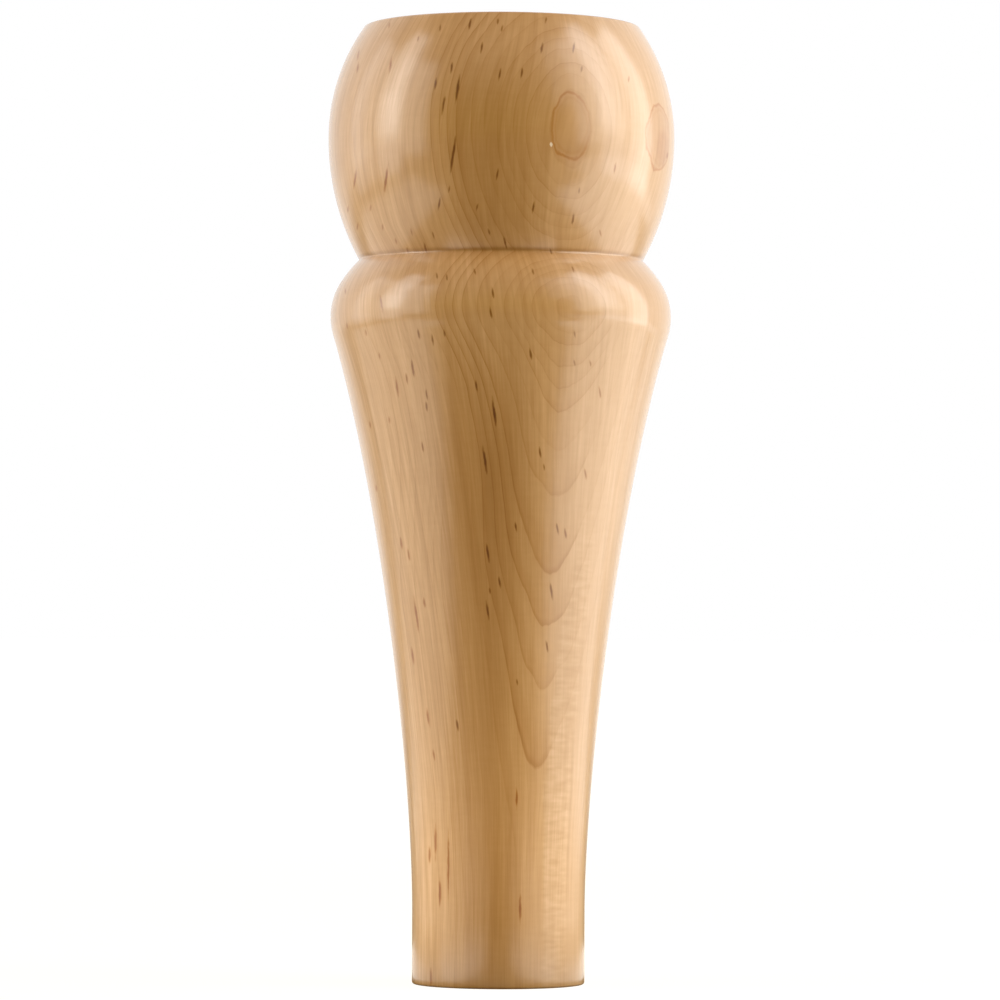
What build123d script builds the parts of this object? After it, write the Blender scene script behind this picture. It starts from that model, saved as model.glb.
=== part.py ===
"""Tapered bun foot for furniture, turned as one solid piece from a square maple blank.

The foot stands on its small end. The origin is the centre of that end and +Z is up, so the wide
flat top carries the furniture. Each bead is laid out from its neighbour down the turning, so a
longer foot gets a longer taper.
"""

import os

from build123d import *

# Overall height, in millimetres
FOOT_HEIGHT = 245.7

# Flat top face, against the underside of the furniture
TOP_DIAMETER = 70.5
TOP_EDGE_ROUND = 0.9

# Bulb
BULB_DIAMETER = 89.0
BULB_BELOW_TOP = 28.8

# V groove under the bulb
GROOVE_DIAMETER = 72.8
GROOVE_BELOW_BULB = 31.4
GROOVE_BOTTOM_ROUND = 0.5

# Shoulder: an arc about its widest circle, turning up into the dome and down into the taper
SHOULDER_DIAMETER = 87.5
SHOULDER_BELOW_GROOVE = 14.6
SHOULDER_ROUND = 16.4
SHOULDER_TURN_UP = 33.2
SHOULDER_TURN_DOWN = 16.4

# Hollow taper: how far each end keeps its own direction before the curve leaves it
TAPER_TOP_PULL = 46.6
TAPER_BOTTOM_PULL = 32.1

# Straight ankle and its flat base
ANKLE_DIAMETER = 44.2
ANKLE_HEIGHT = 18.1
BASE_EDGE_ROUND = 0.6

# Heights of the turned circles above the base
bulb_height = FOOT_HEIGHT - BULB_BELOW_TOP
groove_height = bulb_height - GROOVE_BELOW_BULB
shoulder_height = groove_height - SHOULDER_BELOW_GROOVE

# Corners and widest points of the half profile, as radius and height
top_corner = Vector(TOP_DIAMETER / 2, FOOT_HEIGHT)
bulb_side = Vector(BULB_DIAMETER / 2, bulb_height)
groove_corner = Vector(GROOVE_DIAMETER / 2, groove_height)
shoulder_centre = Vector(SHOULDER_DIAMETER / 2 - SHOULDER_ROUND, shoulder_height)
ankle_top = Vector(ANKLE_DIAMETER / 2, ANKLE_HEIGHT)
base_corner = Vector(ANKLE_DIAMETER / 2, 0)

UPWARD = Vector(0, 1)

# The foot: its half profile turned about the vertical axis
with BuildPart() as turned_foot:
    with BuildSketch(Plane.XZ) as half_profile:
        with BuildLine():
            # Crown and underside of the bulb, both upright where it is widest
            TangentArc(bulb_side, top_corner, tangent=UPWARD)
            TangentArc(bulb_side, groove_corner, tangent=-UPWARD)

            # Shoulder, and the dome that rises from it into the groove
            shoulder = CenterArc(
                shoulder_centre,
                SHOULDER_ROUND,
                start_angle=-SHOULDER_TURN_DOWN,
                arc_size=SHOULDER_TURN_DOWN + SHOULDER_TURN_UP,
            )
            TangentArc(shoulder @ 1, groove_corner, tangent=shoulder % 1)

            # Taper, upright at the ankle and in line with the shoulder at the top
            Bezier(
                shoulder @ 0,
                shoulder @ 0 - (shoulder % 0) * TAPER_TOP_PULL,
                ankle_top + UPWARD * TAPER_BOTTOM_PULL,
                ankle_top,
            )

            # Ankle, base, axis and top face
            Polyline(ankle_top, base_corner, (0, 0), (0, FOOT_HEIGHT), top_corner)
        make_face()

        # Rounds that the turner's sandpaper and the tip of the tool leave
        for corner, round_radius in (
            (top_corner, TOP_EDGE_ROUND),
            (groove_corner, GROOVE_BOTTOM_ROUND),
            (base_corner, BASE_EDGE_ROUND),
        ):
            fillet(half_profile.vertices().sort_by_distance(corner)[0], radius=round_radius)
    revolve(axis=Axis.Z)

turned_foot.part.label = "turned_foot"

os.makedirs("parts", exist_ok=True)
export_step(turned_foot.part, "parts/turned_foot.step")
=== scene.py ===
"""Tapered bun foot turned from one piece of natural maple, under a clear satin lacquer."""

import math
import random
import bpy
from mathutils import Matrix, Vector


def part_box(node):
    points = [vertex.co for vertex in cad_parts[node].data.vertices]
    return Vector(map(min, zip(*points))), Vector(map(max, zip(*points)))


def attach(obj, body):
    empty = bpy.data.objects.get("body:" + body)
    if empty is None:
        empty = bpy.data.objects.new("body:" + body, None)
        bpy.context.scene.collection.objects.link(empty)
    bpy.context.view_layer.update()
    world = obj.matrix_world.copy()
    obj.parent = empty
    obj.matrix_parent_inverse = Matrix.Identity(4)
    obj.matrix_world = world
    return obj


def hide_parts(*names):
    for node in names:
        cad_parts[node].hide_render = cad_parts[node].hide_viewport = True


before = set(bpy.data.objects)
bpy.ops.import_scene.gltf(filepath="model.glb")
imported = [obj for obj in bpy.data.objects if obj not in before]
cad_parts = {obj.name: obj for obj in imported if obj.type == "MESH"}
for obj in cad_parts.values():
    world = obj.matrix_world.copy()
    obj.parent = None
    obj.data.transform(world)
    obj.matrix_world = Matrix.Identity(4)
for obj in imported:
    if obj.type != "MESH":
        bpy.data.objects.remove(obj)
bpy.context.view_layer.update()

from types import SimpleNamespace

import bmesh
import bpy
from mathutils import Vector
from mathutils.geometry import interpolate_bezier

node_low, node_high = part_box("turned_foot")

MM = 0.001

# The foot's sizes, in metres. Height and bulb come from the frame.
FOOT_HEIGHT = node_high.z
BULB_RADIUS = node_high.x
TOP_RADIUS = 35.25 * MM
TOP_EDGE_ROUND = 0.9 * MM
BULB_BELOW_TOP = 28.8 * MM
GROOVE_RADIUS = 36.4 * MM
GROOVE_BELOW_BULB = 31.4 * MM
GROOVE_ROUND = 0.5 * MM
SHOULDER_RADIUS = 43.75 * MM
SHOULDER_BELOW_GROOVE = 14.6 * MM
SHOULDER_ROUND = 16.4 * MM
SHOULDER_TURN_UP = math.radians(33.2)
SHOULDER_TURN_DOWN = math.radians(16.4)
TAPER_TOP_PULL = 46.6 * MM
TAPER_BOTTOM_PULL = 32.1 * MM
ANKLE_RADIUS = 22.1 * MM
ANKLE_HEIGHT = 18.1 * MM
BASE_EDGE_ROUND = 0.6 * MM

# Heights of the turned circles above the base
BULB_HEIGHT = FOOT_HEIGHT - BULB_BELOW_TOP
GROOVE_HEIGHT = BULB_HEIGHT - GROOVE_BELOW_BULB
SHOULDER_HEIGHT = GROOVE_HEIGHT - SHOULDER_BELOW_GROOVE

# How finely the turned surface is divided, and how close two points count as one
SPIN_STEPS = 192
OUTLINE_STEP = 1.2 * MM
ANKLE_SHARES = (0.0, 0.1, 0.4, 0.7)
ROUND_SEGMENTS = 6
FLAT_MARGIN = 0.5 * MM
SAME_CIRCLE = 0.01 * MM
SAME_POINT = 0.001 * MM

# Camera: far off and nearly level, with the foot filling the frame
CAMERA_DISTANCE = 1.3524
CAMERA_HEIGHT = 0.0897
AIM = Vector((0.0, 0.0, 0.124))
FRAME_WIDTH = 0.2569
SENSOR_WIDTH = 36.0
CAMERA_ROLL = math.radians(0.23)
NEAREST_SEEN = 0.01

# Softboxes around the foot: turn in degrees from the front towards the viewer's right, sizes, glow
SOFTBOX_DISTANCE = 1.0
SOFTBOXES = {
    "left_front_box": dict(turn=-60, width=0.35, bottom=0.1, top=1.0, glow=1.4),
    "left_narrow_box": dict(turn=-76, width=0.20, bottom=0.25, top=1.0, glow=1.2),
    "left_low_box": dict(turn=-80, width=0.35, bottom=0.01, top=0.25, glow=2.0),
    "left_box": dict(turn=-80, width=0.35, bottom=0.25, top=0.6, glow=3.1),
    "left_high_box": dict(turn=-80, width=0.35, bottom=0.6, top=1.4, glow=2.3),
    "left_rim_box": dict(turn=-104, width=0.42, bottom=0.01, top=1.0, glow=1.25),
    "right_high_box": dict(turn=42, width=0.25, bottom=0.5, top=1.5, glow=0.6),
    "right_front_box": dict(turn=60, width=0.35, bottom=0.18, top=1.5, glow=1.7),
    "right_narrow_box": dict(turn=72, width=0.25, bottom=0.3, top=1.4, glow=1.2),
    "right_low_box": dict(turn=80, width=0.35, bottom=0.01, top=0.25, glow=2.2),
    "right_box": dict(turn=80, width=0.35, bottom=0.25, top=1.7, glow=3.2),
    "right_rim_box": dict(turn=104, width=0.42, bottom=0.01, top=1.2, glow=2.6),
}

# Bounce boards that lie on the floor: start and end across, middle and depth from front to back, glow
BOARD_HEIGHT = 0.1 * MM
BOARDS = {
    "left_board": dict(start=-0.75, end=-0.30, middle=0.0, depth=0.8, glow=1.1),
    "left_close_board": dict(start=-0.10, end=-0.03, middle=0.0, depth=0.3, glow=0.9),
    "left_front_board": dict(start=-0.16, end=-0.03, middle=-0.10, depth=0.15, glow=1.1),
    "front_board": dict(start=-0.03, end=0.03, middle=-0.10, depth=0.15, glow=0.22),
    "right_front_board": dict(start=0.03, end=0.16, middle=-0.10, depth=0.15, glow=1.0),
    "right_close_board": dict(start=0.03, end=0.10, middle=0.0, depth=0.3, glow=1.0),
    "right_board": dict(start=0.30, end=0.75, middle=0.0, depth=0.8, glow=1.8),
    "right_far_board": dict(start=0.75, end=2.2, middle=0.0, depth=1.8, glow=1.5),
}

# The dim warm room, whose tint changes between two steepnesses of the line of sight
ROOM_LIGHT = 0.34
ROOM_COLOUR = (1.0, 0.67, 0.05, 1.0)
CEILING_COLOUR = (1.0, 0.74, 0.52, 1.0)
CEILING_STEEPNESS = (0.1, 0.8)

# The white ground, and where mirrored rays see it behind the foot: by heading, and in metres on the floor
WHITE = (1.0, 1.0, 1.0, 1.0)
ROOM_WHITE_BEHIND = (0.0, 0.5)
FLOOR_WHITE_BEHIND = (0.15, 1.6)
FLOOR_RADIUS = 60.0
FLOOR_SEGMENTS = 96
FLOOR_COLOUR = (0.28, 0.24, 0.13, 1.0)

# How white the floor looks close to the foot, and how far off it turns to full white
FLOOR_WHITE_NEAR = 0.92
FLOOR_WHITE_REACH = (0.3, 1.5)

# How the foot lies in the tree, in millimetres. The growth rings face the viewer's right.
RING_TURN = math.radians(23.5)
THROUGH_RINGS = Vector((math.sin(RING_TURN), -math.cos(RING_TURN), 0.0))
ALONG_RINGS = Vector((math.cos(RING_TURN), math.sin(RING_TURN), 0.0))

# The rings bow one way in the lower taper and the other way around the knots, from and to these heights
LOWER_BOW = 1 / 250.0
UPPER_BOW = -1 / 95.0
BOW_TURNS = (95.0, 140.0)
BOW_REACH = 35.0

# On the taper, below these heights, the rings also come to a point: how steeply and how far
POINT_STEEPNESS = 0.14
POINT_TILT = 0.05
POINT_WIDTH = 2.5
POINT_REACH = 30.0
POINT_HEIGHTS = (172.0, 150.0)

# Rings that show on the taper and the bulb: depth from the axis to the end of the year, and how dark
SEEN_RINGS = (
    (24.4, 1.0), (26.4, 0.7), (28.2, 1.0), (30.1, 0.8), (33.1, 0.5), (35.4, 0.2),
    (37.5, 0.5), (38.8, 0.3), (40.0, 0.35), (41.4, 0.55), (42.3, 0.2), (43.0, 0.3),
)

# Rings deeper in are drawn by lot, between these distances and darknesses
HIDDEN_RING_GAPS = (1.6, 4.2)
HIDDEN_RING_DARKNESS = (0.15, 0.6)
RING_REACH = 50.0
RING_SEED = 7

# In shares of a year: how the thin line rises and falls, how early the next year counts, how its stain fades
LINE_RISE = (0.97, 1.0)
LINE_FALL = (0.13, 0.0)
YEAR_LEAD = 0.02
LATE_FADE = (0.7, 0.0)

# How strong the line is between its patches, and how much of the rings is left past the curly band's edge
LINE_LEVEL = 0.75
RINGS_PAST_CURL = 0.3

# The fibres part around the knots, by so many millimetres, and follow some of the flecks' lean
FIBRE_RADIUS = 35.0
PARTING = 4.0
PARTING_HEIGHT = 18.0
PARTING_WIDTH = 8.0
FIBRE_LEAN = 0.5

# Noise in the wood: the sizes of its cells in millimetres and how strong it is
RING_NOISE = (((45.0, 45.0, 130.0), 0.9), ((12.0, 12.0, 40.0), 0.35), ((2.5, 2.5, 14.0), 0.08))
LINE_NOISE = ((14.0, 14.0, 40.0), 0.5)
FIBRE_NOISE = (((2.0, 2.0, 60.0), 0.35), ((0.9, 0.9, 34.0), 0.45), ((0.4, 0.4, 9.0), 0.45))
CLOUD_NOISE = (((20.0, 20.0, 80.0), 0.45), ((5.0, 5.0, 50.0), 0.45))
KNOT_NOISE = (((5.0, 5.0, 6.0), 0.08), ((1.2, 1.2, 1.6), 0.03))
CURL_EDGE_NOISE = ((5.0, 5.0, 14.0), 2.0)
CURL_RIPPLES = ((5.0, 5.0, 1.2), 0.5)
FLECK_NOISE = ((0.7, 0.7, 2.0), 0.25)
CHIP_NOISE = ((0.4, 0.4, 0.4), 0.2)
PORE_NOISE = ((0.35, 0.35, 3.0), 0.6)
GOLDEN_NOISE = ((14.0, 9.0, 60.0), 0.4)

# Maple: the palest wood, its golden cast, and what full measures of brown and orange stain let through
PALE_MAPLE = (0.78, 0.50, 0.265, 1.0)
GOLDEN = (1.0, 0.96, 0.80, 1.0)
GOLDEN_LEVEL = 0.5
GOLDEN_SHARE = 0.7
BROWN_STAIN = (0.40, 0.27, 0.10, 1.0)
ORANGE_STAIN = (0.78, 0.55, 0.28, 1.0)

# How much stain each part of the grain holds
PLAIN_STAIN = 0.19
LEAST_STAIN = 0.01
RING_STAIN = 0.23
LATE_STAIN = 0.13
RING_BROWN_SHARE = 0.75
RING_ORANGE_SHARE = 0.6
FIBRE_STAIN = 0.16
CLOUD_STAIN = 0.14
CURL_STAIN = 0.14
RIPPLE_STAIN = 0.03
# Painted shade in the groove: how dark its thin line is, how far above the groove's bottom and how wide, in
# millimetres
GROOVE_PAINTED_SHADE = 0.35
GROOVE_LINE_ABOVE = 0.4
GROOVE_LINE_WIDTH = 0.4

# Left and right of the front, by the sine of the turn: stronger fibres on the left; on the right, as painted
# sheen where the lamps' highlight lies, weaker clouds and paler wood
LEFT_SIDE = (-0.17, -0.71)
LEFT_FIBRES = (0.70, 1.20)
RIGHT_SIDE = (0.26, 0.71)
RIGHT_CLOUDS = (1.0, 0.55)
PAINTED_SHEEN_SIDE = (0.37, 0.67)
CURL_AND_SHEEN_SHARE = 0.6

# Painted shade: darker bands run up the front of the taper and the bulb, the side the lamps light least:
# turn and half width in degrees, heights, strength
FRONT_PAINTED_SHADE = (
    dict(centre=-7.0, width=15.0, heights=(-40.0, 20.0, 125.0, 180.0), strength=0.31),
    dict(centre=-4.0, width=15.0, heights=(184.0, 194.0, 220.0, 240.0), strength=0.20),
)

# Knots: turn from the front in degrees, height, half width and half height in millimetres
FRONT_KNOT = dict(turn=23.2, height=216.3, half_width=5.4, half_height=8.6)
SIDE_KNOT = dict(turn=65.0, height=215.8, half_width=7.6, half_height=8.4)
KNOT_DEPTH = 16.0

# Inside a knot, by the distance that is 1 at its rim: how much tan lies over the front and the side knot
KNOT_TAN = (0.60, 0.31, 0.125, 1.0)
KNOT_EDGE = (1.05, 0.9)
KNOT_SHARES = (0.15, 0.32)

# The heart of the side knot: its place and how far it reaches, in half widths and half heights of the knot
HEART_RIGHT = 0.25
HEART_LOW = 0.3
HEART_FADE = (0.75, 0.3)
HEART_SHARE = 0.6

# A knot's rim and the oval inside it: place, width, and strength, which grows to the left and to the ends
RIM_STAIN = 0.95
RIM_PLACE = 0.97
RIM_WIDTH = 0.08
RIM_STRENGTH = 0.40
RIM_RIGHT_GAIN = -0.15
RIM_END_GAIN = 0.45
OVAL_PLACE = 0.80
OVAL_WIDTH = 0.08
OVAL_STRENGTH = 0.15

# The pale chip at the front knot's edge: its place, one over its half sizes in millimetres, and its edge
CHIP_PLACE = (12.4, -42.6, 211.6)
CHIP_SCALES = (1 / 0.35, 1 / 1.5, 1 / 0.55)
CHIP_EDGE = (1.2, 0.6)
CHIP_PALE = (0.95, 0.80, 0.62, 1.0)

# The curly band on the taper's right: turns of its edges in degrees, and its heights in millimetres
# The curly band's pale, which also paints sheen on the right side
CURL_AND_SHEEN_PALE = (0.78, 0.53, 0.32, 1.0)
CURL_LEFT = (28.0, 37.0)
CURL_LEFT_HEIGHTS = (67.0, 120.0)
CURL_LEFT_WIDTH = 4.0
CURL_RIGHT = (54.0, 46.0)
CURL_TOP = (128.0, 98.0)

# Past its left edge the rings stay faint as far as these turns at the back, in degrees
CURL_BACK = (160.0, 120.0)

# Dark flecks seen in front, by length: across from the axis and height, all in millimetres
FLECKS = {
    1.5: (
        (-28.5, 243.5), (-15.5, 241.5), (-21.0, 239.0), (-1.0, 243.0), (0.0, 241.0), (20.0, 231.0),
        (11.0, 243.5), (32.0, 229.5), (-13.0, 200.5), (-6.0, 196.0), (19.5, 200.5), (-39.0, 197.5),
        (-33.0, 197.0), (-36.5, 193.0), (-30.0, 192.0), (-22.5, 190.5), (-17.0, 189.5), (-3.0, 190.0),
        (25.0, 190.5), (12.5, 185.5), (-16.0, 179.0), (-13.5, 178.5), (-6.5, 180.0), (8.0, 180.0),
        (18.0, 181.0), (-39.5, 176.5), (-39.0, 167.5), (-34.0, 165.5), (-30.5, 159.5), (-14.0, 164.5),
        (18.5, 164.5), (22.5, 157.5), (18.5, 157.5), (-28.0, 143.5), (-33.0, 142.5), (11.0, 131.5),
        (-31.5, 126.5), (-2.5, 100.5), (4.5, 77.5), (-23.5, 186.0), (-26.5, 188.5), (42.3, 211.6),
    ),
    2.4: (
        (-8.0, 242.5), (-5.0, 236.0), (-36.5, 236.5), (-36.5, 233.0), (-12.5, 231.0), (-16.5, 227.0),
        (-0.5, 229.0), (5.0, 229.5), (10.0, 236.0), (18.0, 236.5), (-1.0, 204.0), (-15.5, 197.0),
        (8.0, 196.0), (18.0, 193.5), (28.5, 206.5), (1.0, 187.5), (-19.0, 186.5), (-2.0, 174.5),
        (-2.5, 169.5), (-17.0, 163.0), (-20.5, 164.5), (7.5, 159.5), (-23.5, 153.5), (-18.5, 149.5),
        (-6.0, 151.5), (-18.5, 146.5), (25.0, 150.5), (10.0, 135.0), (21.5, 130.0), (-19.5, 136.5),
        (4.0, 116.5), (14.5, 116.0), (16.5, 115.0), (-25.0, 112.5), (-23.0, 109.5), (0.0, 102.5),
        (-19.0, 97.5), (12.0, 86.5), (-16.5, 59.0), (-10.5, 66.5),
    ),
    3.8: (
        (-28.0, 232.5), (-14.5, 221.5), (-37.0, 204.5), (-30.0, 172.5), (-22.0, 156.0), (-26.0, 151.5),
        (-3.0, 110.0), (-3.0, 95.5), (13.0, 100.5), (-22.0, 84.0), (-18.0, 68.5), (-17.5, 33.5),
        (4.5, 48.0), (-17.0, 2.5),
    ),
    5.8: ((-11.0, 225.3), (-29.0, 203.5), (-1.5, 144.7), (-3.8, 133.0), (5.5, 20.3), (-14.8, 24.0)),
    7.4: ((-12.0, 209.3), (-21.0, 94.0), (-16.0, 37.0)),
    13.4: ((-12.7, 31.0),),
}
FLECK_THICKNESS = {1.5: 0.24, 2.4: 0.26, 3.8: 0.28, 5.8: 0.32, 7.4: 0.28, 13.4: 0.24}
FLECK_STAIN = {1.5: 0.7, 2.4: 1.0, 3.8: 1.1, 5.8: 1.3, 7.4: 1.2, 13.4: 1.2}
FLECK_EDGE = (1.55, 0.2)
NO_FLECK = 10.0

# Flecks turn orange in the ankle and at the sides: over which heights and turns, and how much brown is left
ORANGE_HEIGHTS = (72.0, 48.0)
ORANGE_TURNS = (18.0, 45.0)
BROWN_LEFT = 0.25

# How the flecks lean: how far the fibres have wandered sideways at each height, and a bound on it
FLECK_WANDER = ((0.0, 0.0), (50.0, 0.0), (165.0, -17.0), (180.0, -19.3), (192.0, -22.6), (250.0, -14.0))
MOST_WANDER = -25.0

# Flecks by lot on the sides and the back: cells in millimetres, the share that hold one, half sizes in cells
STRAY_CELL = (6.0, 6.0, 26.0)
STRAY_SHARE = 0.4
STRAY_SIZES = (0.035, 0.075)
STRAY_EDGE = (1.5, 0.5)
STRAY_START = (-10.0, -4.0)
STRAY_STAIN = 0.9

# End grain shows where the surface faces up or down. The lacquer stops at the edges of the bare flat ends.
END_GRAIN_FACING = (0.6, 0.97)
END_GRAIN_SHADE = (0.80, 0.70, 0.60, 1.0)
LACQUER_FACING = (0.995, 0.97)
BARE_ROUGHNESS = 0.70
LACQUERED_ROUGHNESS = 0.42
WOOD_SPECULAR = 0.35
LACQUER_IOR = 1.65
LACQUER_ROUGHNESS = 0.18
RELIEF_STRENGTH = 0.5
RELIEF_HEIGHT = 0.015 * MM


def point_at(thing, target):
    """Turns a camera or a lamp so that it looks at the target."""
    thing.rotation_euler = (target - thing.location).to_track_quat("-Z", "Y").to_euler()


def add_camera():
    camera = bpy.data.objects.new("camera", bpy.data.cameras.new("camera"))
    bpy.context.scene.collection.objects.link(camera)
    camera.location = (0.0, -CAMERA_DISTANCE, CAMERA_HEIGHT)
    point_at(camera, AIM)
    camera.rotation_euler.rotate_axis("Z", CAMERA_ROLL)
    camera.data.sensor_width = SENSOR_WIDTH
    camera.data.lens = SENSOR_WIDTH * (AIM - camera.location).length / FRAME_WIDTH
    camera.data.clip_start = NEAREST_SEEN
    camera.data.clip_end = 2 * FLOOR_RADIUS
    bpy.context.scene.camera = camera


def add_lamp(name, width, height, glow):
    """A rectangular lamp that the camera doesn't see. Its glow is the radiance of its cloth."""
    lamp = bpy.data.lights.new(name, "AREA")
    lamp.shape = "RECTANGLE"
    lamp.size, lamp.size_y = width, height
    lamp.energy = glow * math.pi * width * height
    thing = bpy.data.objects.new(name, lamp)
    thing.visible_camera = False
    bpy.context.scene.collection.objects.link(thing)
    return thing


def add_softbox(name, turn, width, bottom, top, glow):
    """A lamp that stands upright and faces the foot."""
    softbox = add_lamp(name, width, top - bottom, glow)
    middle = Vector((0.0, 0.0, (bottom + top) / 2))
    turn = math.radians(turn)
    softbox.location = middle + SOFTBOX_DISTANCE * Vector((math.sin(turn), -math.cos(turn), 0.0))
    point_at(softbox, middle)


def add_board(name, start, end, middle, depth, glow):
    """A lamp that lies just above the floor and shines upwards."""
    board = add_lamp(name, end - start, depth, glow)
    board.location = ((start + end) / 2, middle, BOARD_HEIGHT)
    board.rotation_euler.x = math.pi


class Graph:
    """Short calls for the nodes of one material or world."""

    def __init__(self, owner):
        owner.use_nodes = True
        self.tree = owner.node_tree
        self.tree.nodes.clear()

    def node(self, kind, inputs=None, **settings):
        """A node with its settings. inputs gives a socket or a value for each input's name or number."""
        made = self.tree.nodes.new("ShaderNode" + kind)
        for name, setting in settings.items():
            setattr(made, name, setting)
        for key, value in (inputs or {}).items():
            if isinstance(value, bpy.types.NodeSocket):
                self.tree.links.new(value, made.inputs[key])
            else:
                made.inputs[key].default_value = value
        return made

    def math(self, operation, *values, clamp=False):
        made = self.node("Math", dict(enumerate(values)), operation=operation, use_clamp=clamp)
        return made.outputs[0]

    def vector(self, operation, *values):
        """A vector sum or the like, or a number where the operation gives one."""
        made = self.node("VectorMath", dict(enumerate(values)), operation=operation)
        return made.outputs["Value" if operation in ("DOT_PRODUCT", "LENGTH", "DISTANCE") else "Vector"]

    def combine(self, x, y, z):
        return self.node("CombineXYZ", {0: x, 1: y, 2: z}).outputs[0]

    def parts(self, vector):
        """The X, Y and Z of a vector."""
        return self.node("SeparateXYZ", {0: vector}).outputs

    def total(self, *values):
        """The sum of several numbers."""
        result = values[0]
        for value in values[1:]:
            result = self.math("ADD", result, value)
        return result

    def product(self, *values):
        """The product of several numbers."""
        result = values[0]
        for value in values[1:]:
            result = self.math("MULTIPLY", result, value)
        return result

    def between(self, share, start, end):
        """The number that lies that share of the way from start to end."""
        return self.math("MULTIPLY_ADD", share, end - start, start)

    def fade(self, value, start, end):
        """Rises smoothly from 0 at start to 1 at end."""
        low, high, ends = (start, end, (0.0, 1.0)) if start < end else (end, start, (1.0, 0.0))
        inputs = {0: value, 1: low, 2: high, 3: ends[0], 4: ends[1]}
        return self.node("MapRange", inputs, interpolation_type="SMOOTHSTEP").outputs[0]

    def bell(self, off):
        """1 where off is 0, and little once off is past 2 on either side."""
        return self.math("EXPONENT", self.product(off, off, -0.5))

    def waver(self, point, cell, size):
        """Noise about zero of roughly that size, with cells of those lengths along the three axes."""
        scaled = self.vector("MULTIPLY", point, tuple(1.0 / length for length in cell))
        noise = self.node("TexNoise", {"Vector": scaled, "Scale": 1.0, "Detail": 1.0}).outputs[0]
        return self.math("MULTIPLY_ADD", noise, 4.0 * size, -2.0 * size)

    def wavers(self, point, layers):
        """The sum of several layers of noise, each with its own cells and size."""
        return self.total(*(self.waver(point, *layer) for layer in layers))

    def curve(self, value, points):
        """A curve through (value, result) points from 0 to 1, straight between them."""
        made = self.node("FloatCurve", {1: value})
        line = made.mapping.curves[0].points
        for place, result in points[1:-1]:
            line.new(place, result)
        line[0].location = points[0]
        line[-1].location = points[-1]
        for point in line:
            point.handle_type = "VECTOR"
        made.mapping.update()
        return made.outputs[0]

    def paint(self, share, under, over, kind="MIX"):
        """The colour over laid on the colour under, by share."""
        made = self.node("Mix", {0: share, 6: under, 7: over}, data_type="RGBA", blend_type=kind)
        return made.outputs[2]


def seen_white(graph, behind):
    """1 for camera rays, and for mirrored and transmitted rays as far as they go behind the foot."""
    path = graph.node("LightPath").outputs
    mirrored = graph.math("MAXIMUM", path["Is Glossy Ray"], path["Is Transmission Ray"])
    return graph.math("MAXIMUM", path["Is Camera Ray"], graph.math("MULTIPLY", mirrored, behind))


def light_room():
    """A dim warm room, with the white ground behind the foot for the camera and for what mirrors it."""
    world = bpy.data.worlds.new("room")
    bpy.context.scene.world = world
    graph = Graph(world)
    heading = graph.parts(graph.node("TexCoord").outputs["Generated"])
    white = seen_white(graph, graph.fade(heading["Y"], *ROOM_WHITE_BEHIND))
    tint = graph.paint(graph.fade(heading["Z"], *CEILING_STEEPNESS), ROOM_COLOUR, CEILING_COLOUR)
    room = graph.node("Background", {0: tint, 1: ROOM_LIGHT}).outputs[0]
    ground = graph.node("Background", {0: WHITE, 1: 1.0}).outputs[0]
    shown = graph.node("MixShader", {0: white, 1: room, 2: ground}).outputs[0]
    graph.node("OutputWorld", {0: shown})


def floor_material():
    """Pale matt floor that reads as white, but for the foot's own shadow close by."""
    material = bpy.data.materials.new("floor_paint")
    graph = Graph(material)
    place = graph.node("TexCoord").outputs["Object"]
    seen = seen_white(graph, graph.fade(graph.parts(place)["Y"], *FLOOR_WHITE_BEHIND))
    far = graph.fade(graph.vector("LENGTH", place), *FLOOR_WHITE_REACH)
    white = graph.between(far, FLOOR_WHITE_NEAR, 1.0)
    paint = graph.node("BsdfDiffuse", {0: FLOOR_COLOUR}).outputs[0]
    glow = graph.node("Emission", {0: WHITE, 1: graph.math("MULTIPLY", seen, white)}).outputs[0]
    graph.node("OutputMaterial", {0: graph.node("AddShader", {0: paint, 1: glow}).outputs[0]})
    return material


def add_floor():
    shape = bmesh.new()
    bmesh.ops.create_circle(shape, cap_ends=True, segments=FLOOR_SEGMENTS, radius=FLOOR_RADIUS)
    finished_object("floor", shape, floor_material())


def finished_object(name, shape, material):
    """An object at the origin from a bmesh, shaded smooth."""
    mesh = bpy.data.meshes.new(name)
    shape.to_mesh(mesh)
    shape.free()
    mesh.materials.append(material)
    mesh.polygons.foreach_set("use_smooth", [True] * len(mesh.polygons))
    thing = bpy.data.objects.new(name, mesh)
    bpy.context.scene.collection.objects.link(thing)
    return thing


def arc_points(start, end, heading):
    """Points after start on the arc to end that leaves start along heading. All are (radius, height)."""
    chord = end - start
    half_turn = math.atan2(heading.cross(chord), heading.dot(chord))
    steps = max(3, round(chord.length / OUTLINE_STEP))
    points = []
    for step in range(1, steps + 1):
        turn = half_turn * step / steps
        reach = chord.length * math.sin(turn) / math.sin(half_turn)
        across = heading.x * math.cos(turn) - heading.y * math.sin(turn)
        up = heading.x * math.sin(turn) + heading.y * math.cos(turn)
        points.append(start + reach * Vector((across, up)))
    return points


def leaning(angle):
    """The unit heading that leans outwards by the angle from straight up."""
    return Vector((math.sin(angle), math.cos(angle)))


def on_shoulder(angle):
    """The point of the shoulder's bead that lies the angle above its widest circle."""
    centre = Vector((SHOULDER_RADIUS - SHOULDER_ROUND, SHOULDER_HEIGHT))
    return centre + SHOULDER_ROUND * Vector((math.cos(angle), math.sin(angle)))


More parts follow.
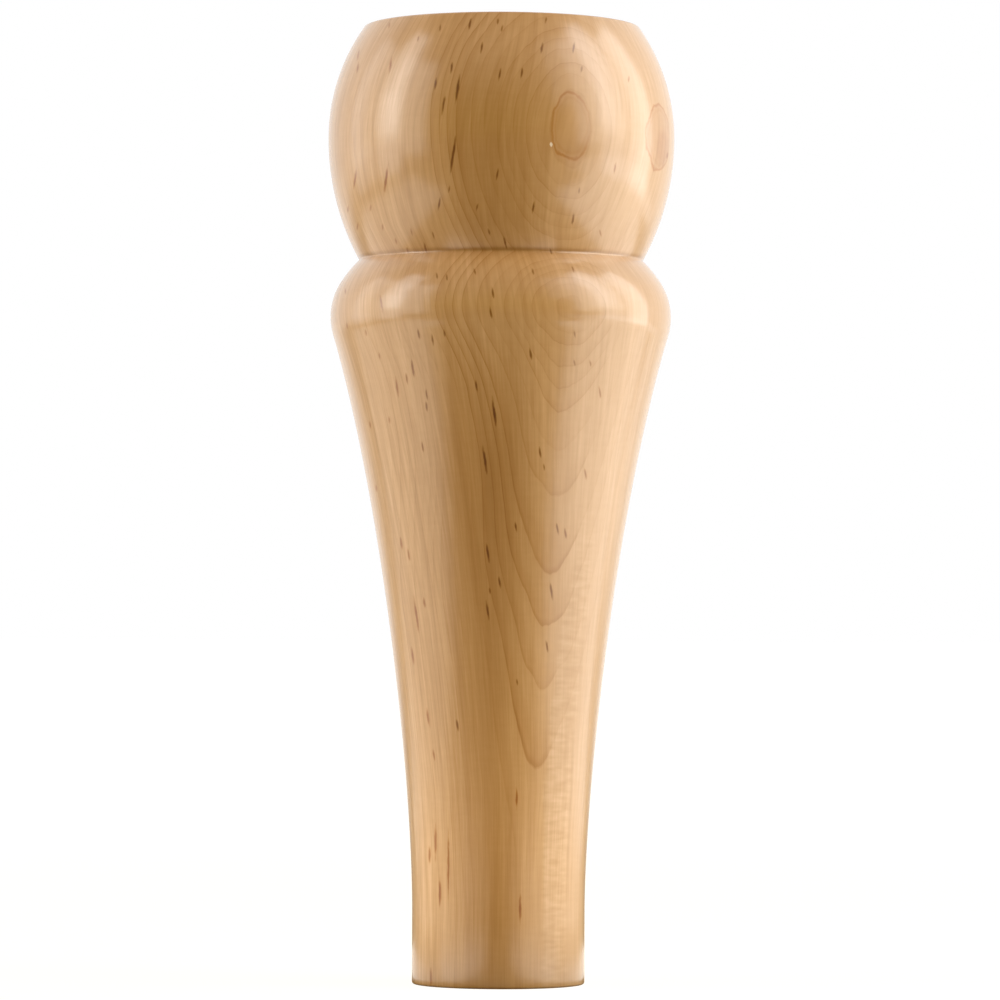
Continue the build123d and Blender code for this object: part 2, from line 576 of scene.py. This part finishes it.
def half_outline():
    """The turned outline from the base's rim up to the top's rim, as (radius, height)."""
    base_rim = Vector((ANKLE_RADIUS, 0.0))
    ankle_top = Vector((ANKLE_RADIUS, ANKLE_HEIGHT))
    taper_end = on_shoulder(-SHOULDER_TURN_DOWN)
    dome_start = on_shoulder(SHOULDER_TURN_UP)
    groove = Vector((GROOVE_RADIUS, GROOVE_HEIGHT))
    bulb_side = Vector((BULB_RADIUS, BULB_HEIGHT))
    top_rim = Vector((TOP_RADIUS, FOOT_HEIGHT))

    taper_steps = round((taper_end - ankle_top).length / OUTLINE_STEP)
    taper = interpolate_bezier(
        ankle_top,
        ankle_top + leaning(0) * TAPER_BOTTOM_PULL,
        taper_end - leaning(SHOULDER_TURN_DOWN) * TAPER_TOP_PULL,
        taper_end,
        taper_steps,
    )
    ankle = [base_rim.lerp(ankle_top, share) for share in ANKLE_SHARES]
    bead = arc_points(taper_end, dome_start, leaning(SHOULDER_TURN_DOWN))
    dome = arc_points(dome_start, groove, leaning(-SHOULDER_TURN_UP))
    underside = arc_points(bulb_side, groove, -leaning(0))[-2::-1] + [bulb_side]
    crown = arc_points(bulb_side, top_rim, leaning(0))
    return ankle + [Vector(point[:2]) for point in taper] + bead + dome + underside + crown


def at_circle(vert, radius, height):
    """Whether a vertex lies on the circle of that radius and height."""
    point = vert.co
    return abs(point.z - height) < SAME_CIRCLE and abs(point.xy.length - radius) < SAME_CIRCLE


def round_over(shape, radius, height, rounding):
    """Rounds the turned corner at that radius and height."""
    ring = [edge for edge in shape.edges if all(at_circle(vert, radius, height) for vert in edge.verts)]
    turn = ring[0].calc_face_angle()
    bmesh.ops.bevel(
        shape,
        geom=ring,
        offset=rounding * math.tan(turn / 2),
        offset_type="OFFSET",
        segments=ROUND_SEGMENTS,
        profile=0.5,
        affect="EDGES",
        material=-1,
        clamp_overlap=True,
    )


def add_foot(outline, material):
    """The foot: its outline spun about the axis, closed by flat ends."""
    shape = bmesh.new()
    flat_base = [(0.0, 0.0), (ANKLE_RADIUS - BASE_EDGE_ROUND - FLAT_MARGIN, 0.0)]
    flat_top = [(TOP_RADIUS - TOP_EDGE_ROUND - FLAT_MARGIN, FOOT_HEIGHT), (0.0, FOOT_HEIGHT)]
    places = (*flat_base, *outline, *flat_top)
    profile = [shape.verts.new((radius, 0.0, height)) for radius, height in places]
    edges = [shape.edges.new(pair) for pair in zip(profile, profile[1:])]
    bmesh.ops.spin(
        shape,
        geom=profile + edges,
        axis=(0, 0, 1),
        cent=(0, 0, 0),
        angle=math.tau,
        steps=SPIN_STEPS,
        use_merge=True,
    )
    bmesh.ops.remove_doubles(shape, verts=shape.verts, dist=SAME_POINT)
    bmesh.ops.recalc_face_normals(shape, faces=shape.faces)
    round_over(shape, TOP_RADIUS, FOOT_HEIGHT, TOP_EDGE_ROUND)
    round_over(shape, GROOVE_RADIUS, GROOVE_HEIGHT, GROOVE_ROUND)
    round_over(shape, ANKLE_RADIUS, 0.0, BASE_EDGE_ROUND)
    foot = finished_object("maple_foot", shape, material)
    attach(foot, "root")
    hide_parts("turned_foot")


def radius_at(outline, height):
    """The foot's radius at a height, both in millimetres."""
    for below, above in zip(outline, outline[1:]):
        if below.y <= height * MM < above.y:
            share = (height * MM - below.y) / (above.y - below.y)
            return (below.x + share * (above.x - below.x)) / MM
    return outline[-1].x / MM


def knot_space(graph, point, outline, turn, height, half_width, half_height):
    """How far the point is from a knot, 1 at its rim, and on which side of it."""
    turn = math.radians(turn)
    out = Vector((math.sin(turn), -math.cos(turn), 0.0))
    across = Vector((math.cos(turn), math.sin(turn), 0.0))
    middle = out * radius_at(outline, height) + Vector((0.0, 0.0, height))
    offset = graph.vector("SUBTRACT", point, tuple(middle))
    sideways = graph.vector("DOT_PRODUCT", offset, tuple(across / half_width))
    upwards = graph.vector("DOT_PRODUCT", offset, (0.0, 0.0, 1.0 / half_height))
    inwards = graph.vector("DOT_PRODUCT", offset, tuple(out / KNOT_DEPTH))
    distance = graph.vector("LENGTH", graph.combine(sideways, upwards, inwards))
    uneven = graph.math("ADD", distance, graph.wavers(point, KNOT_NOISE))
    return SimpleNamespace(sideways=sideways, upwards=upwards, distance=uneven)


def ring_bow(graph, along, height):
    """How much further in the rings lie for their bow, which levels off at the sides."""
    square = graph.math("MULTIPLY", along, along)
    levelled = graph.math("DIVIDE", square, graph.math("MULTIPLY_ADD", square, 1.0 / BOW_REACH**2, 1.0))
    bow = graph.between(graph.fade(height, *BOW_TURNS), LOWER_BOW, UPPER_BOW)
    return graph.math("MULTIPLY", levelled, bow)


def ring_point(graph, along, height):
    """How much further in the rings lie to both sides of the point that they come to on the taper."""
    root = graph.math("SQRT", graph.math("MULTIPLY_ADD", along, along, POINT_WIDTH**2))
    rise = graph.math("MULTIPLY", graph.math("SUBTRACT", root, POINT_WIDTH), POINT_STEEPNESS)
    rise = graph.math("DIVIDE", rise, graph.math("MULTIPLY_ADD", root, 1.0 / POINT_REACH, 1.0))
    rise = graph.math("SUBTRACT", graph.math("MULTIPLY", along, POINT_TILT), rise)
    return graph.math("MULTIPLY", rise, graph.fade(height, *POINT_HEIGHTS))


def along_grain(graph, point, along, height, wander):
    """The fibres' flow over the surface, as a place on a cylinder of one radius."""
    knot_height = FRONT_KNOT["height"]
    off_knots = graph.math("MULTIPLY_ADD", height, 1.0 / PARTING_HEIGHT, -knot_height / PARTING_HEIGHT)
    root = graph.math("SQRT", graph.math("ADD", graph.math("MULTIPLY", along, along), PARTING_WIDTH**2))
    parting = graph.product(graph.math("DIVIDE", along, root), graph.bell(off_knots), PARTING)
    shift = graph.math("MULTIPLY_ADD", wander, FIBRE_LEAN, parting)
    outwards = graph.vector("NORMALIZE", graph.vector("MULTIPLY", point, (1.0, 1.0, 0.0)))
    place = graph.vector("MULTIPLY", outwards, (FIBRE_RADIUS, FIBRE_RADIUS, 0.0))
    angle = graph.math("DIVIDE", shift, -FIBRE_RADIUS)
    turned = graph.node("VectorRotate", {"Vector": place, "Angle": angle}, rotation_type="Z_AXIS")
    return graph.vector("ADD", turned.outputs[0], graph.combine(0.0, 0.0, height))


def wood_space(graph, outline):
    """The point in millimetres, how it lies in the rings, fibres and knots, and its turn from the front."""
    metres = graph.node("TexCoord").outputs["Object"]
    point = graph.vector("MULTIPLY", metres, (1.0 / MM, 1.0 / MM, 1.0 / MM))
    parts = graph.parts(point)
    height = parts["Z"]
    along = graph.vector("DOT_PRODUCT", point, tuple(ALONG_RINGS))
    through = graph.vector("DOT_PRODUCT", point, tuple(THROUGH_RINGS))
    bow = ring_bow(graph, along, height)
    waves = graph.wavers(point, RING_NOISE)
    wander = wandering(graph, height)
    turn = graph.math("ARCTAN2", parts["X"], graph.math("MULTIPLY", parts["Y"], -1.0))
    return SimpleNamespace(
        point=point,
        parts=parts,
        height=height,
        depth=graph.total(through, bow, ring_point(graph, along, height), waves),
        wander=wander,
        grain=along_grain(graph, point, along, height, wander),
        knots=[knot_space(graph, point, outline, **knot) for knot in (FRONT_KNOT, SIDE_KNOT)],
        turn=graph.math("DEGREES", turn),
        side=graph.math("SINE", turn),
    )


def all_rings():
    """Every ring's depth and darkness, from behind the axis to the front."""
    draw = random.Random(RING_SEED)
    inner = [SEEN_RINGS[0]]
    while inner[-1][0] > -RING_REACH:
        depth = inner[-1][0] - draw.uniform(*HIDDEN_RING_GAPS)
        inner.append((depth, draw.uniform(*HIDDEN_RING_DARKNESS)))
    return inner[:0:-1] + list(SEEN_RINGS) + [(RING_REACH, 0.0)]


def ring_stain(graph, wood, curl):
    """The thin line between two years, and a stain that fades outwards from it."""
    rings = all_rings()
    first, last = rings[0][0], rings[-1][0]
    years = len(rings) - 1
    share = graph.math("DIVIDE", graph.math("SUBTRACT", wood.depth, first), last - first)
    ends = [((depth - first) / (last - first), year / years) for year, (depth, _) in enumerate(rings)]
    age = graph.math("MULTIPLY", graph.curve(share, ends), float(years))
    season = graph.math("FRACT", age)
    year = graph.math("FLOOR", graph.math("ADD", age, YEAR_LEAD))
    strengths = [(year / years, strength) for year, (_, strength) in enumerate(rings)]
    strength = graph.curve(graph.math("DIVIDE", year, float(years)), strengths)
    line = graph.math("MAXIMUM", graph.fade(season, *LINE_RISE), graph.fade(season, *LINE_FALL))
    patchy = graph.math("ADD", LINE_LEVEL, graph.waver(wood.point, *LINE_NOISE))
    late = graph.fade(season, *LATE_FADE)
    stain = graph.math("MULTIPLY_ADD", late, LATE_STAIN, graph.product(line, patchy, RING_STAIN))
    return graph.product(stain, strength, graph.between(curl.beyond, 1.0, RINGS_PAST_CURL))


def front_painted_shade(graph, wood, centre, width, heights, strength):
    """Painted shade: a darker band that runs up the wood about one turn from the front, where the lamps
    light it least.
    """
    across = graph.bell(graph.math("MULTIPLY_ADD", wood.turn, 1.0 / width, -centre / width))
    low, full, ends, high = heights
    starts = graph.fade(wood.height, low, full)
    return graph.product(across, starts, graph.fade(wood.height, high, ends), strength)


def groove_painted_shade(graph, wood):
    """Painted shade: the thin dark line just above the bottom of the groove, where shade falls in it."""
    line_height = GROOVE_HEIGHT / MM + GROOVE_LINE_ABOVE
    off = graph.math("DIVIDE", graph.math("SUBTRACT", wood.height, line_height), GROOVE_LINE_WIDTH)
    return graph.math("MULTIPLY", graph.bell(off), GROOVE_PAINTED_SHADE)


def curl_space(graph, wood):
    """The curly band: how far the point is in it or past its left edge, and its ripples."""
    edge = graph.between(graph.fade(wood.height, *CURL_LEFT_HEIGHTS), *CURL_LEFT)
    past = graph.math("SUBTRACT", wood.turn, edge)
    past = graph.math("ADD", past, graph.waver(wood.point, *CURL_EDGE_NOISE))
    beyond = graph.product(graph.fade(past, 0.0, CURL_LEFT_WIDTH), graph.fade(wood.turn, *CURL_BACK))
    inside = graph.product(beyond, graph.fade(wood.turn, *CURL_RIGHT), graph.fade(wood.height, *CURL_TOP))
    return SimpleNamespace(beyond=beyond, inside=inside, ripples=graph.waver(wood.point, *CURL_RIPPLES))


def wander_at(height):
    """How far the leaning flecks have wandered sideways at a height, in millimetres."""
    for (low, before), (high, after) in zip(FLECK_WANDER, FLECK_WANDER[1:]):
        if height <= high:
            return before + (after - before) * (height - low) / (high - low)
    return FLECK_WANDER[-1][1]


def wandering(graph, height):
    """How far they have wandered at the height that a socket gives."""
    full = FLECK_WANDER[-1][0]
    line = [(level / full, wander / MOST_WANDER) for level, wander in FLECK_WANDER]
    return graph.math("MULTIPLY", graph.curve(graph.math("DIVIDE", height, full), line), MOST_WANDER)


def fleck_stain(graph, wood):
    """The brown and the orange stain of the flecks seen in front, thin lenses that lean with the fibres."""
    upright = graph.combine(graph.math("SUBTRACT", wood.parts["X"], wood.wander), 0.0, wood.height)
    rough = graph.waver(wood.point, *FLECK_NOISE)
    stain = 0.0
    for length, places in FLECKS.items():
        scales = (1.0 / FLECK_THICKNESS[length], 0.0, 2.0 / length)
        scaled = graph.vector("MULTIPLY", upright, scales)
        nearest = NO_FLECK
        for across, height in places:
            centre = ((across - wander_at(height)) * scales[0], 0.0, height * scales[2])
            nearest = graph.math("MINIMUM", nearest, graph.vector("DISTANCE", scaled, centre))
        mark = graph.fade(graph.math("ADD", nearest, rough), *FLECK_EDGE)
        stain = graph.math("MAXIMUM", stain, graph.math("MULTIPLY", mark, FLECK_STAIN[length]))
    stain = graph.math("MULTIPLY", stain, graph.math("LESS_THAN", wood.parts["Y"], 0.0))
    aside = graph.fade(graph.math("ABSOLUTE", wood.turn), *ORANGE_TURNS)
    orange = graph.product(stain, graph.math("MAXIMUM", graph.fade(wood.height, *ORANGE_HEIGHTS), aside))
    brown = graph.math("MULTIPLY_ADD", orange, BROWN_LEFT - 1.0, stain)
    return brown, orange


def stray_fleck_stain(graph, wood):
    """Flecks at random on the sides and the back, where none is listed."""
    scaled = graph.vector("MULTIPLY", wood.grain, tuple(1.0 / length for length in STRAY_CELL))
    cells = graph.node("TexVoronoi", {"Vector": scaled, "Scale": 1.0})
    lot = graph.node("SeparateColor", {0: cells.outputs["Color"]}).outputs
    chosen = graph.math("GREATER_THAN", lot["Red"], 1.0 - STRAY_SHARE)
    size = graph.between(lot["Green"], *STRAY_SIZES)
    mark = graph.fade(graph.math("DIVIDE", cells.outputs["Distance"], size), *STRAY_EDGE)
    return graph.product(mark, chosen, graph.fade(wood.parts["Y"], *STRAY_START), STRAY_STAIN)


def rim_stain(graph, knot):
    """The soft orange rim of a knot, strongest at the bottom and the top, with a fainter oval inside it."""
    off_rim = graph.math("ABSOLUTE", graph.math("SUBTRACT", knot.distance, RIM_PLACE))
    off_oval = graph.math("ABSOLUTE", graph.math("SUBTRACT", knot.distance, OVAL_PLACE))
    strength = graph.math("MULTIPLY_ADD", knot.sideways, RIM_RIGHT_GAIN, RIM_STRENGTH)
    ends = graph.product(knot.upwards, knot.upwards)
    strength = graph.math("MULTIPLY_ADD", ends, RIM_END_GAIN, strength)
    rim = graph.math("MULTIPLY", graph.fade(off_rim, RIM_WIDTH, 0.0), strength)
    oval = graph.math("MULTIPLY", graph.fade(off_oval, OVAL_WIDTH, 0.0), OVAL_STRENGTH)
    return graph.math("MULTIPLY", graph.math("MAXIMUM", rim, oval), RIM_STAIN)


def knot_heart(graph, knot):
    """The patch in the lower right of a knot."""
    right = graph.math("SUBTRACT", knot.sideways, HEART_RIGHT)
    low = graph.math("ADD", knot.upwards, HEART_LOW)
    off = graph.vector("LENGTH", graph.combine(right, low, 0.0))
    return graph.product(graph.fade(off, *HEART_FADE), graph.fade(knot.distance, *KNOT_EDGE))


def chip_mark(graph, wood):
    """The small pale chip at the front knot's left edge."""
    offset = graph.vector("MULTIPLY", graph.vector("SUBTRACT", wood.point, CHIP_PLACE), CHIP_SCALES)
    distance = graph.math("ADD", graph.vector("LENGTH", offset), graph.waver(wood.point, *CHIP_NOISE))
    return graph.fade(distance, *CHIP_EDGE)


def pale_wood(graph, wood, curl, long_grain):
    """The colour of the wood and its knots before any stain, with the right side paled as painted sheen."""
    golden = graph.math("ADD", GOLDEN_LEVEL, graph.waver(wood.grain, *GOLDEN_NOISE), clamp=True)
    colour = graph.paint(graph.math("MULTIPLY", golden, GOLDEN_SHARE), PALE_MAPLE, GOLDEN, "MULTIPLY")
    # Painted sheen: the right side is paled with the curly band's colour, where the lamps' highlight lies.
    aside = graph.math("MAXIMUM", curl.inside, graph.fade(wood.side, *PAINTED_SHEEN_SIDE))
    colour = graph.paint(graph.product(aside, long_grain, CURL_AND_SHEEN_SHARE), colour, CURL_AND_SHEEN_PALE)
    for knot, share in zip(wood.knots, KNOT_SHARES):
        inside = graph.math("MULTIPLY", graph.fade(knot.distance, *KNOT_EDGE), share)
        colour = graph.paint(inside, colour, KNOT_TAN)
    heart = graph.math("MULTIPLY", knot_heart(graph, wood.knots[1]), HEART_SHARE)
    return graph.paint(heart, colour, KNOT_TAN)


def stained(graph, wood, curl, colour, fibres, long_grain):
    """The colour under the brown and the orange stain of the rings, fibres, clouds, flecks and rims, with
    painted shade up the front and in the groove darkened in with the brown.
    """
    rings = ring_stain(graph, wood, curl)
    left_fibres = graph.between(graph.fade(wood.side, *LEFT_SIDE), *LEFT_FIBRES)
    # Clouds weaken on the right, under the painted sheen.
    right_clouds = graph.between(graph.fade(wood.side, *RIGHT_SIDE), *RIGHT_CLOUDS)
    clouds = graph.wavers(wood.grain, CLOUD_NOISE)
    # Besides the wood's stains, brown carries the painted shade of the bands up the front.
    brown = graph.total(
        PLAIN_STAIN,
        graph.math("MULTIPLY", rings, RING_BROWN_SHARE),
        *(front_painted_shade(graph, wood, **shade_band) for shade_band in FRONT_PAINTED_SHADE),
        graph.product(fibres, left_fibres, FIBRE_STAIN),
        graph.product(clouds, long_grain, right_clouds, CLOUD_STAIN),
        graph.product(curl.ripples, curl.inside, CURL_STAIN),
        graph.math("MULTIPLY", curl.ripples, RIPPLE_STAIN),
    )
    brown_flecks, orange_flecks = fleck_stain(graph, wood)
    marks = graph.math("MAXIMUM", brown_flecks, stray_fleck_stain(graph, wood))
    # The groove's painted shade darkens the wood together with the brown stain.
    brown = graph.total(graph.math("MAXIMUM", brown, LEAST_STAIN), marks, groove_painted_shade(graph, wood))
    rims = [rim_stain(graph, knot) for knot in wood.knots]
    orange = graph.total(orange_flecks, graph.math("MULTIPLY", rings, RING_ORANGE_SHARE), *rims)
    for dye, strength in ((BROWN_STAIN, brown), (ORANGE_STAIN, orange)):
        colour = graph.paint(1.0, colour, graph.node("Gamma", {0: dye, 1: strength}).outputs[0], "MULTIPLY")
    return colour


def maple_material(outline):
    """Natural maple under a clear satin lacquer, with bare end grain on its flat ends."""
    material = bpy.data.materials.new("lacquered_maple")
    graph = Graph(material)
    wood = wood_space(graph, outline)
    curl = curl_space(graph, wood)
    facing = graph.math("ABSOLUTE", graph.parts(graph.node("TexCoord").outputs["Normal"])["Z"])
    end_grain = graph.fade(facing, *END_GRAIN_FACING)
    long_grain = graph.math("SUBTRACT", 1.0, end_grain)
    pores = graph.math("MULTIPLY", graph.waver(wood.point, *PORE_NOISE), end_grain)
    fibres = graph.math("MULTIPLY_ADD", graph.wavers(wood.grain, FIBRE_NOISE), long_grain, pores)

    colour = pale_wood(graph, wood, curl, long_grain)
    colour = stained(graph, wood, curl, colour, fibres, long_grain)
    colour = graph.paint(chip_mark(graph, wood), colour, CHIP_PALE)
    colour = graph.paint(end_grain, colour, END_GRAIN_SHADE, "MULTIPLY")

    lacquered = graph.fade(facing, *LACQUER_FACING)
    bumps = {"Height": fibres, "Strength": RELIEF_STRENGTH, "Distance": RELIEF_HEIGHT}
    relief = graph.node("Bump", bumps).outputs[0]
    shader = graph.node(
        "BsdfPrincipled",
        {
            "Base Color": colour,
            "Roughness": graph.between(lacquered, BARE_ROUGHNESS, LACQUERED_ROUGHNESS),
            "Specular IOR Level": WOOD_SPECULAR,
            "Normal": relief,
            "Coat Weight": lacquered,
            "Coat IOR": LACQUER_IOR,
            "Coat Roughness": LACQUER_ROUGHNESS,
            "Coat Normal": relief,
        },
    )
    graph.node("OutputMaterial", {0: shader.outputs[0]})
    return material


add_camera()
for name, settings in SOFTBOXES.items():
    add_softbox(name, **settings)
for name, settings in BOARDS.items():
    add_board(name, **settings)
light_room()
add_floor()
turned_outline = half_outline()
add_foot(turned_outline, maple_material(turned_outline))
bpy.context.scene.view_settings.view_transform = "Standard"
